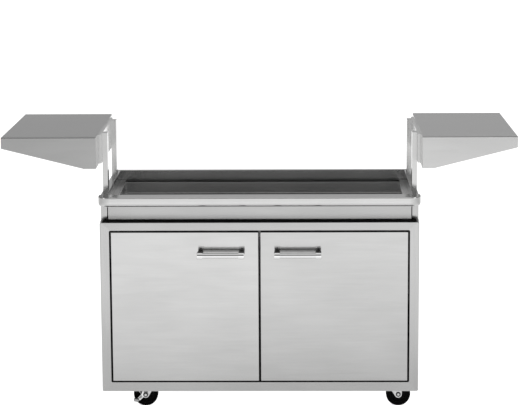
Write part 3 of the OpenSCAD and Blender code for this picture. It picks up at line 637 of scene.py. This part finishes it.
# ---------------------------------------------------------------- Drip tray
# Folded pan on two runners. Its front plate, flared a little at its foot, carries a
# rounded nose, rolled from one strip of sheet, whose colour is painted darker towards
# its ends as painted shade.
nose_corner, nose_top_edge, nose_low_edge = 0.038, 0.004, 0.011
nose_lean, lean_start = 8, 0.001
corner_share, painted_end_tone = 0.35, 0.6
foot_low, foot_round = 0.003, 0.001
flare_high, flare_turn, flare_slope = 0.0115, 0.003, 0.085


def nose_outline(low, high, corner, steps=14):
    """The nose seen from above: a rectangle with round front corners, which grow as
    it is moved outwards. Its back edge stays where it is."""
    turn = np.linspace(0, math.pi / 2, steps)
    angle = np.concatenate([turn + math.pi, turn + 1.5 * math.pi])
    side = np.repeat([-1, 1], steps)
    middle = np.column_stack([
        (low.x + high.x) / 2 + side * ((high.x - low.x) / 2 - corner),
        np.full(2 * steps, low.y + corner),
    ])
    away = np.column_stack([np.cos(angle), np.sin(angle)])
    ends = np.array([(high.x, high.y), (low.x, high.y)])
    ends_away = np.array([(1, 0), (-1, 0)])

    def outline(out):
        """Along X it moves by a part of the distance, since its ends are bent tighter."""
        moved = np.concatenate([middle + corner * away, ends])
        return moved + out * np.concatenate([away, ends_away]) * (corner_share, 1)

    return outline


low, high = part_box("drip_tray_nose")
nose_half = (high.z - low.z) / 2
tilt = math.radians(nose_lean)
lean_end = nose_low_edge * (1 - math.sin(tilt)) - nose_half
lean = np.linspace(lean_end, lean_start, 6)
lean_depth = (lean_start - lean_end) * math.tan(tilt) / 2
edge_centre = -lean_depth - nose_low_edge * math.cos(tilt)
nose_profile = [
    (edge_centre - nose_low_edge, -nose_half),
    *bend(edge_centre, nose_low_edge - nose_half, nose_low_edge, -88, -nose_lean, steps=8),
    *zip(-lean_depth * ((lean_start - lean) / (lean_start - lean_end)) ** 2, lean),
    *bend(-nose_top_edge, nose_half - nose_top_edge, nose_top_edge, 2, 88),
    (edge_centre - nose_low_edge, nose_half),
]

# Painted shade: the brushed colour darkens over the corners towards the nose's two ends
nose_steel = stainless("nose_steel", 0.575, roughness=0.2)
tree = nose_steel.node_tree
base = tree.nodes["Principled BSDF"].inputs["Base Color"]
brushed = base.links[0].from_socket
place = add_node(tree, "SeparateXYZ", {0: add_node(tree, "TexCoord", {}).outputs["Object"]})
from_middle = add_node(tree, "Math", {0: place.outputs["X"]}, operation="ABSOLUTE")
painted_end_shade = add_node(tree, "MapRange", {
    "Value": from_middle.outputs[0], "From Min": high.x - nose_corner, "From Max": high.x,
    "To Min": 1, "To Max": painted_end_tone,
})
darker = add_node(
    tree, "Mix", {0: 1.0, 6: brushed, 7: painted_end_shade.outputs["Result"]},
    data_type="RGBA", blend_type="MULTIPLY",
)
tree.links.new(darker.outputs[2], base)
add_piece(
    "tray_nose_roll",
    [carried(
        rows_on(nose_outline(low, high, nose_corner), nose_profile),
        (0, 0, (low.z + high.z) / 2), from_above,
    )],
    "drip_tray", nose_steel, ["drip_tray_nose"],
)
low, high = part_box("drip_tray_front")


def plate_section(out):
    """The plate seen from its end, alike for any out: down its front, round its foot,
    and up its back. The front follows a hyperbola, from upright above to the flare's
    slope below."""
    z = np.linspace(high.z, low.z - foot_low + foot_round, 24)
    below = low.z - foot_low + flare_high - z
    flare = flare_slope / 2 * (below + np.hypot(below, flare_turn))
    face = np.column_stack([low.y - flare, z])
    turn = np.radians(np.linspace(180, 270, 5))[1:]
    foot = face[-1] + foot_round * np.column_stack([1 + np.cos(turn), np.sin(turn)])
    back = [(high.y, low.z - foot_low + foot_round), (high.y, high.z)]
    return np.concatenate([face, foot, back])


add_piece(
    "tray_front_plate",
    [carried(rows_on(plate_section, [(0, low.x), (0, high.x)]), (0, 0, 0), from_right)],
    "drip_tray", stainless("tray_front_steel", 0.415, roughness=0.15),
    ["drip_tray_front"],
)
tray_steel = stainless("tray_steel", 0.56)
dull_steel = stainless("folded_steel", 0.52, roughness=0.30)
softened("drip_tray_pan", tray_steel, edge=0.0006)
softened("tray_runners", dull_steel, Y, edge=0.0003)

# ---------------------------------------------------------------- Side shelves
# Each is one sheet folded down on all four sides, with its seams welded and
# polished out. The wedge-shaped ends are closed by lips that turn in below.
shelf_fold, shelf_corner, shelf_lip, lip_bend = 0.005, 0.0018, 0.015, 0.0025
shelf_edge, shelf_deep, shelf_flat = 0.038, 0.103, 0.0395


def shelf_outline(low, high, knee):
    """The shelf seen from above, with a point more in its front and back edges,
    over the knee where its lower edge starts to rise."""
    plain = rectangle((low.x, low.y), (high.x, high.y), corner=shelf_corner, steps=4)

    def outline(out):
        right, left = np.split(plain(out), 2)
        return np.concatenate([right, [(knee, high.y + out)], left, [(knee, low.y - out)]])

    return outline


low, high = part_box("right_shelf")
knee, shelf_low = low.x + shelf_flat, low.z
rise = (shelf_deep - shelf_edge) / (high.x - knee)


def over_lip(up):
    """Height of a point that stands up over the sloping lower edge."""
    return lambda flat: shelf_low + up + rise * np.maximum(flat[:, 0] - knee, 0)


plan = shelf_outline(low, high, knee)
lip_profile = [
    *bend(-lip_bend, lip_bend, lip_bend, 0, -90, steps=4),
    (-shelf_lip, 0), (-shelf_lip, sheet), (-sheet, sheet),
]
shelf_rows = [
    *rows_on(plan, bend(-shelf_fold, high.z - shelf_fold, shelf_fold, 90, 0)),
    *((plan, out, over_lip(up)) for out, up in lip_profile),
    *rows_on(
        plan, bend(-shelf_fold, high.z - shelf_fold, shelf_fold - sheet, 0, 90, steps=4)
    ),
]
right_shelf = carried(shelf_rows, (0, 0, 0), from_above)
# The left shelf's steel is painted darker than the right's, as painted shade
for side, sign, tone in (("left", -1, 0.37), ("right", 1, 0.49)):
    shelf = side + "_shelf"
    add_piece(
        shelf + "_sheet", [on_side(right_shelf, sign)],
        "cabinet", stainless(shelf + "_steel", tone), [shelf],
    )

# ---------------------------------------------------------------- Bolts
# Zinc-plated hexagon bolts hold the shelves, the posts and the casters. Their
# heads are chamfered, and each stands on a plain washer.
hex_radius, hex_height = 0.0065, 0.004
washer_high, washer_share, washer_edge = 0.001, 1.12, 0.0002
chamfer_high, chamfer_in = 0.0008, 0.0012
post_half, bolt_in = 0.020, 0.018
inwards_left = ((0, 1, 0), (0, 0, 1), (-1, 0, 0))


def plated(name, tone, roughness, warmth=0.0):
    """Zinc plating: bright, with a slow mottle and a fine crystal grain."""
    tint = np.array([1, 1, 1 - warmth])
    return grained(
        name, dark=tone * 0.82 * tint, light=tone * 1.1 * tint, span=(0.3, 0.7),
        roughness=roughness - 0.1,
        coarse=((140,) * 3, 3, 0.16), fine=((1600,) * 3, 2, 0.05),
        relief=(0.25, 0.0003), metallic=1,
    )


def hexagon(radius):
    """Outline of a hexagon with softly rounded corners, given its corner radius."""
    angle = np.radians(np.arange(0, 360, 60)[:, None] + np.array([-4, 0, 4])).ravel()
    reach = np.tile([0.975, 0.985, 0.975], 6)
    ring = np.column_stack([np.cos(angle), np.sin(angle)]) * reach[:, None]
    return lambda out: (radius + out) * ring


def hex_head(origin, axes, radius, height):
    """Bolt head or nut: a washer, then a hexagon whose top edge is chamfered."""
    washer = [(0, 0), (0, washer_high), (-washer_edge, washer_high)]
    head = [(0, 0), (0, height - chamfer_high), (-chamfer_in, height)]
    return [
        carried(rows_on(circle(radius * washer_share, steps=32), washer), origin, axes),
        carried(rows_on(hexagon(radius), head), origin, axes),
    ]


zinc = plated("bright_zinc", 0.6, 0.34)
shelf_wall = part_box("right_shelf")[0].x + sheet
cheek_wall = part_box("right_neck_cheek")[0].x
foot_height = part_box("shelf_bolts")[0].z + hex_radius
posts_low, posts_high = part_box("right_shelf_posts")
rail_low, rail_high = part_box("right_shelf_rail")
heads = []
for y in (posts_low.y + post_half, posts_high.y - post_half):
    for z in (rail_low.z + bolt_in, rail_high.z - bolt_in):
        heads += hex_head((shelf_wall, y, z), from_right, hex_radius, hex_height)
    heads += hex_head((cheek_wall, y, foot_height), inwards_left, hex_radius, hex_height)
shells = [on_side(head, sign) for sign in (-1, 1) for head in heads]
add_piece("shelf_bolt_heads", shells, "cabinet", zinc, ["shelf_bolts"])

# ---------------------------------------------------------------- Casters
# Pressed and zinc-plated forks turn under bolted plates. Black solid tyres sit on
# ribbed nylon hubs. The left casters have a foot lever with a pad and a cam; the
# lever's zinc is painted lighter as painted light, and the pad and cam darker as
# painted shade.
kingpin_x, kingpin_y = 0.411, (-0.17925, 0.23675)
plate_bolt_x, plate_bolt_y = 0.037, 0.027
ribs, rib_turn, rib_half, rib_corner = 8, 0.2, 0.0011, 0.0004
rib_start, rib_end, rib_low, rib_high = 0.0085, 0.0248, 0.0088, 0.0136
axle_radius, axle_head, nut_high = 0.004, hex_radius + 0.0008, hex_height - 0.0006
lever_thick, pressed_edge = 0.003, 0.0006
pad_half, pad_corner, pad_round, pad_tilt = (0.0084, 0.0052), 0.0036, 0.0018, math.radians(12)
pad_place, stamp_place = (-0.0300, -0.0162), (-0.0160, -0.0078)
stamp_half, stamp_corner = (0.0056, 0.0034), 0.0014
downwards = ((1, 0, 0), (0, 1, 0), (0, 0, -1))
forwards = ((1, 0, 0), (0, 0, 1), (0, -1, 0))
pad_axes = (
    (math.cos(pad_tilt), 0, -math.sin(pad_tilt)), (math.sin(pad_tilt), 0, math.cos(pad_tilt)),
    (0, 1, 0),
)
stamp_axes = ((0.72, 0, 0.69), (-0.69, 0, 0.72), (0, 1, 0))


def both_sides(half):
    """A wheel's profile from the half of it that lies in front of its middle."""
    return half + [(out, -up) for out, up in reversed(half)]


# Each point is (distance from the axle, distance behind the wheel's middle)
tyre_profile = both_sides([
    (0.02865, -0.0152), (0.0294, -0.0158), (0.0312, -0.0158), (0.0317, -0.0152),
    (0.0323, -0.0152), (0.0328, -0.0159),
    *bend(0.0335, -0.010, 0.006, -90, 0),
    (0.0395, -0.004),
])
hub_profile = both_sides([
    (0.0041, -0.0162), (0.0085, -0.0162), (0.0090, -0.0157), (0.0093, -0.0092),
    (0.0246, -0.0092), (0.0250, -0.0138), (0.0256, -0.0145), (0.0281, -0.0145),
    (0.0285, -0.0140),
])


def hub_ribs(origin, face):
    """Thin ribs in the dish of a hub, from its boss to its rim, for face 1 or -1."""
    rib = rectangle((rib_start, -rib_half), (rib_end, rib_half), rib_corner, steps=2)
    shells = []
    for angle in np.arange(ribs) * 2 * math.pi / ribs + rib_turn:
        c, s = math.cos(angle), math.sin(angle)
        rows = rows_on(rib, [(rib_corner, face * rib_low), (0, face * rib_high)])
        shells.append(carried(rows, origin, ((c, 0, s), (-s, 0, c), (0, 1, 0))))
    return shells


def from_axle(*corners):
    """Outline through corners given in millimetres from the axle. Moved outwards,
    each side keeps its direction, so each corner moves along its mitre."""
    corners = np.array(corners) / 1000
    edge = np.roll(corners, -1, axis=0) - corners
    edge /= np.linalg.norm(edge, axis=1)[:, None]
    out_next = np.column_stack([edge[:, 1], -edge[:, 0]])
    out_last = np.roll(out_next, 1, axis=0)
    mitre = (out_next + out_last) / (1 + (out_next * out_last).sum(1))[:, None]
    return lambda out: corners + mitre * out


def centred(half, corner, steps=5):
    """Outline of a rectangle about the origin of its plane, given its half size."""
    return rectangle((-half[0], -half[1]), half, corner, steps)


def chamfered(outline, origin, length):
    """Straight piece that runs backwards, with the edges of both ends chamfered."""
    profile = [
        (-pressed_edge, 0), (0, pressed_edge), (0, length - pressed_edge),
        (-pressed_edge, length),
    ]
    return carried(rows_on(outline, profile), origin, from_front)


def raised(outline, origin, axes, sunk, high, edge):
    """Low field with a chamfered edge on a face that looks forwards. It starts sunk
    into the face and stands as high as high over it."""
    profile = [(0, sunk), (0, edge - high), (-edge, -high)]
    return carried(rows_on(outline, profile), origin, axes)


# A round eye and a slanting arm, the cam above the eye, and a dark plate on the
# fork that is painted shade of the hollow between its legs
lever_plate = from_axle(
    (7.6, -2.4), (7.9, 2.0), (5.6, 6.8), (0.4, 9.0), (-5.6, 8.6), (-6.4, 13.6),
    (-9.4, 13.6), (-12.9, 2.6), (-25.4, -10.0), (-27.0, -14.5), (-24.0, -18.6),
    (-18.6, -18.9), (-6.5, -7.6), (-1.5, -8.2), (4.2, -7.0),
)
lever_cam = from_axle(
    (6.2, 3.6), (6.8, 8.0), (6.2, 13.6), (-5.2, 13.6), (-6.0, 8.0), (-6.0, 3.6)
)
fork_shade_plate = from_axle((-9.4, 13.6), (-20.4, 13.6), (-14.2, 2.8))
cam_edge, fork_shade_plate_edge = (0.0010, 0.0007, 0.0004), (0.0004, 0.0005, 0.0003)

# Near-black zinc on the axle nuts and the fork's plate: painted shade round the bolts and in
# the fork's hollow
nut_painted_shade_zinc = plated("nut_painted_shade_zinc", 0.07, 0.42)
# The lever's zinc is painted lighter than the other zinc, as painted light
lever_painted_light_zinc = plated("lever_painted_light_zinc", 0.78, 0.3)
# The cam, the pad and the stamp are painted darker, as painted shade
cam_painted_shade_zinc = plated("cam_painted_shade_zinc", 0.2, 0.42)
pad_painted_shade_zinc = plated("pad_painted_shade_zinc", 0.34, 0.42)
galvanised = plated("galvanised_sheet", 0.42, 0.5, 0.01)
nylon = moulded("black_nylon", 0.002, 0.5, 1500, 0.003)

for node in ("caster_plates", "caster_kingpins"):
    softened(node, zinc, edge=0.0006)
softened("caster_doublers", galvanised, Y)

plate_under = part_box("caster_bolts")[0].z + hex_height
doubler_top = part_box("caster_doublers")[1].z
shells = []
for x, y, dx, dy in itertools.product(
    (-kingpin_x, kingpin_x), kingpin_y,
    (-plate_bolt_x, plate_bolt_x), (-plate_bolt_y, plate_bolt_y),
):
    for z, axes in ((plate_under, downwards), (doubler_top, from_above)):
        shells += hex_head((x + dx, y + dy, z), axes, hex_radius, hex_height)
add_piece("caster_bolt_heads", shells, "cabinet", zinc, ["caster_bolts"])

for row, side in itertools.product(("front", "rear"), ("left", "right")):
    caster = row + "_" + side
    wheel, swivel, brake = caster + "_wheel", caster + "_swivel", caster + "_brake"
    low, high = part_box(caster + "_tyre")
    axle = ((low.x + high.x) / 2, (low.y + high.y) / 2, (low.z + high.z) / 2)
    x, _, z = axle
    add_piece(
        caster + "_tyre_moulding",
        [carried(rows_on(circle(0, steps=64), tyre_profile), axle, from_front, closed=True)],
        wheel, rubber, [caster + "_tyre"],
    )
    hub = carried(rows_on(circle(0), hub_profile), axle, from_front, closed=True)
    add_piece(
        caster + "_hub_moulding", [hub, *hub_ribs(axle, -1), *hub_ribs(axle, 1)],
        wheel, nylon, [caster + "_hub"],
    )
    softened(caster + "_fork", zinc, edge=0.0009)
    low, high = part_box(caster + "_axle")
    nuts = [
        *hex_head((x, low.y + hex_height, z), forwards, axle_head, nut_high),
        *hex_head((x, high.y - hex_height, z), from_front, hex_radius, nut_high),
    ]
    if side == "left":
        # Painted shade: a dark plate on the left forks
        fork_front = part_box(caster + "_fork")[0].y
        nuts.append(raised(fork_shade_plate, (x, fork_front, z), from_front, *fork_shade_plate_edge))
    add_piece(caster + "_axle_nuts", nuts, swivel, nut_painted_shade_zinc)
    bolt = chamfered(circle(axle_radius, steps=24), (x, low.y, z), high.y - low.y)
    add_piece(caster + "_axle_bolt", [bolt], swivel, zinc, [caster + "_axle"])
    if side == "right":
        continue
    low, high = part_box(caster + "_brake_lever")
    face_y, depth = high.y - lever_thick, high.y - low.y
    plate = chamfered(lever_plate, (x, face_y, z), lever_thick)
    cam = raised(lever_cam, (x, face_y, z), from_front, *cam_edge)
    stamp = raised(
        centred(stamp_half, stamp_corner),
        (x + stamp_place[0], face_y, z + stamp_place[1]), stamp_axes, *cam_edge,
    )
    pad = carried(
        rows_on(centred(pad_half, pad_corner, steps=4), [
            *bend(-pad_round, pad_round, pad_round, -90, 0, steps=4),
            (0, depth - pressed_edge), (-pressed_edge, depth),
        ]),
        (x + pad_place[0], low.y, z + pad_place[1]), pad_axes,
    )
    add_piece(
        caster + "_foot_lever", [plate], brake, lever_painted_light_zinc,
        [caster + "_brake_lever"],
    )
    add_piece(caster + "_lever_cam", [cam], brake, cam_painted_shade_zinc)
    add_piece(caster + "_lever_pad", [pad, stamp], brake, pad_painted_shade_zinc)

# ---------------------------------------------------------------- Fittings inside
# Door stop and magnets, hinge pins in their bushes, strike plates, the ring for
# the gas cylinder, and the rubber grommet in the back.
black_zinc = plated("black_passivated_zinc", 0.02, 0.5)
for node, material, slot, edge in (
    ("door_stop", galvanised, "galvanised", 0.0004),
    ("hinge_bushes", black_zinc, "galvanised", 0.0004),
    ("tank_ring", galvanised, "galvanised", 0.0004),
    ("left_strike_plate", zinc, "zinc_plate", 0.0003),
    ("left_hinge_pins", black_zinc, "zinc_plate", 0.0004),
    ("right_strike_plate", zinc, "zinc_plate", 0.0003),
    ("right_hinge_pins", black_zinc, "zinc_plate", 0.0004),
    ("magnetic_catches", nylon, "black_plastic", 0.0006),
    ("hose_grommet", rubber, "black_rubber", 0.0008),
):
    softened(node, material, edge=edge)

# ---------------------------------------------------------------- Back screws
# Zinc-plated pan-head screws hold the back panel to the flanges round it. Each head
# has a shallow dish in its middle.
screw_radius, screw_high, screw_in = 0.0042, 0.0018, 0.0075
dish_out, dish_in, dish_floor = 0.0018, 0.0014, 0.0008
side_screws_in = 0.13
screw_profile = [
    (0, 0), *bend(-screw_high, 0, screw_high, 20, 80, steps=4),
    (dish_out - screw_radius, screw_high), (dish_in - screw_radius, dish_floor),
]
low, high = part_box("back_panel")
columns, rows = (low.x + screw_in, high.x - screw_in), (low.z + screw_in, high.z - screw_in)
side_rows = np.linspace(low.z + side_screws_in, high.z - side_screws_in, 3)
spots = [
    *itertools.product(np.linspace(*columns, 8), rows),
    *itertools.product(columns, side_rows),
]
screw_rows = rows_on(circle(screw_radius, steps=20), screw_profile)
shells = [carried(screw_rows, (x, high.y, z), from_front) for x, z in spots]
add_piece("back_screws", shells, "cabinet", zinc)

# ---------------------------------------------------------------- Floor and light
# A floor under two large soft lamps, in a pale room. It is white to the camera and
# keeps the cabinet's shadow. It glows less in front and at the sides, and the metal
# mirrors that as grey.
floor_half = 60
lit_tone, kept_tone = 0.78, 0.6
lamp_aim = (0, 0, 0.5)
mesh = bpy.data.meshes.new("floor")
mesh.from_pydata(
    [(-floor_half, -floor_half, 0), (floor_half, -floor_half, 0),
     (floor_half, floor_half, 0), (-floor_half, floor_half, 0)],
    [], [(0, 1, 2, 3)],
)
floor = bpy.data.objects.new("floor", mesh)
bpy.context.scene.collection.objects.link(floor)
floor_paint = bpy.data.materials.new("floor_paint")
floor_paint.use_nodes = True
tree = floor_paint.node_tree
tree.nodes.clear()


def eased(tree, value, start, end):
    """A mask that passes smoothly from 0 at start to 1 at end."""
    return add_node(
        tree, "MapRange", {"Value": value, "From Min": start, "From Max": end},
        interpolation_type="SMOOTHSTEP",
    ).outputs["Result"]


def combined(tree, operation, first, *others):
    """A math operation on two or more values, from the first to the last."""
    for other in others:
        first = add_node(tree, "Math", {0: first, 1: other}, operation=operation).outputs[0]
    return first


# Rays from the camera, mirrored ones and those through glass see the glow, and all
# others a plain floor
path = add_node(tree, "LightPath", {})
shown = combined(
    tree, "MAXIMUM",
    *(path.outputs["Is " + kind + " Ray"] for kind in ("Camera", "Glossy", "Transmission")),
)
lit = add_node(tree, "BsdfDiffuse", {"Color": (lit_tone, lit_tone, lit_tone, 1)})
kept = add_node(tree, "BsdfDiffuse", {"Color": (kept_tone, kept_tone, kept_tone, 1)})

# Shades from 0 to 1 over distances in metres, and what each takes off the glow
spot = add_node(tree, "SeparateXYZ", {0: add_node(tree, "TexCoord", {}).outputs["Object"]})
sideways, along = spot.outputs["X"], spot.outputs["Y"]
beside = add_node(tree, "Math", {0: sideways}, operation="ABSOLUTE").outputs[0]
near = add_node(
    tree, "MapRange", {"Value": along, "From Min": -3.6, "From Max": -0.6}
).outputs["Result"]
front_shade = combined(
    tree, "MULTIPLY", eased(tree, beside, 2.1, 0.6), eased(tree, along, -0.19, -0.55),
    near, near,
)
side_shade = combined(
    tree, "MULTIPLY", eased(tree, beside, 1.1, 2.4), eased(tree, along, -3.9, -3.0),
    eased(tree, along, 3.0, 1.0),
)
left_shade = combined(
    tree, "MULTIPLY", eased(tree, sideways, -0.6, -1.3), eased(tree, along, -3.4, -4.2)
)
far_shade = eased(tree, along, -3.8, -4.2)
strength = weighted(
    tree,
    [(front_shade, -0.44), (side_shade, -0.32), (left_shade, -0.28), (far_shade, -0.10)],
    1.0,
)
glow = add_node(tree, "Emission", {"Color": (1, 1, 1, 1), "Strength": strength})
white = add_node(tree, "AddShader", {0: kept.outputs[0], 1: glow.outputs[0]})
blend = add_node(tree, "MixShader", {0: shown, 1: lit.outputs[0], 2: white.outputs[0]})
tree.links.new(blend.outputs[0], tree.nodes.new("ShaderNodeOutputMaterial").inputs["Surface"])
mesh.materials.append(floor_paint)

world = bpy.data.worlds.new("studio")
bpy.context.scene.world = world
world.use_nodes = True
tree = world.node_tree
tree.nodes.clear()
place = add_node(tree, "TexCoord", {})
split = add_node(tree, "SeparateXYZ", {0: place.outputs["Generated"]})


def room_wall(name, stops):
    """Brightness of a wall of the room, given as (sine of the angle up, brightness)."""
    wall = add_node(tree, "ValToRGB", {"Fac": split.outputs["Z"]}, label=name)
    ramp = wall.color_ramp
    ramp.interpolation = "EASE"
    ramp.elements[0].position, ramp.elements[1].position = stops[0][0], stops[-1][0]
    for position, _ in stops[1:-1]:
        ramp.elements.new(position)
    for element, (_, bright) in zip(ramp.elements, stops):
        element.color = (bright, bright, bright, 1)
    return wall.outputs["Color"]


front_wall = room_wall("front", [
    (0, 1.0), (0.11, 0.9), (0.17, 0.1), (0.34, 0.07),
    (0.5, 0.24), (0.72, 0.3), (0.85, 0.6), (1, 0.85),
])
other_walls = room_wall("others", [
    (0, 0.58), (0.2, 0.49), (0.7, 0.38), (0.85, 0.65), (1, 0.9),
])
seen = add_node(
    tree, "Mix",
    {0: eased(tree, split.outputs["Y"], -0.35, -0.8), 6: other_walls, 7: front_wall},
    data_type="RGBA",
)
light = add_node(tree, "Background", {"Color": seen.outputs[2], "Strength": 1})
tree.links.new(light.outputs[0], tree.nodes.new("ShaderNodeOutputWorld").inputs["Surface"])


def softbox(name, place, size, radiance):
    """A square lamp that faces the cabinet; its power gives the radiance on any size."""
    data = bpy.data.lights.new(name, "AREA")
    data.shape = "RECTANGLE"
    data.size = data.size_y = size
    data.energy = radiance * math.pi * size ** 2
    made = bpy.data.objects.new(name, data)
    made.location = place
    facing = Vector(lamp_aim) - Vector(place)
    made.rotation_euler = facing.to_track_quat("-Z", "Y").to_euler()
    bpy.context.scene.collection.objects.link(made)


softbox("right", (4.2, -2.6, 2.6), 2.0, 3.2)
softbox("left", (-4.2, -2.2, 2.8), 1.8, 2.2)

bpy.context.scene.view_settings.view_transform = "Standard"
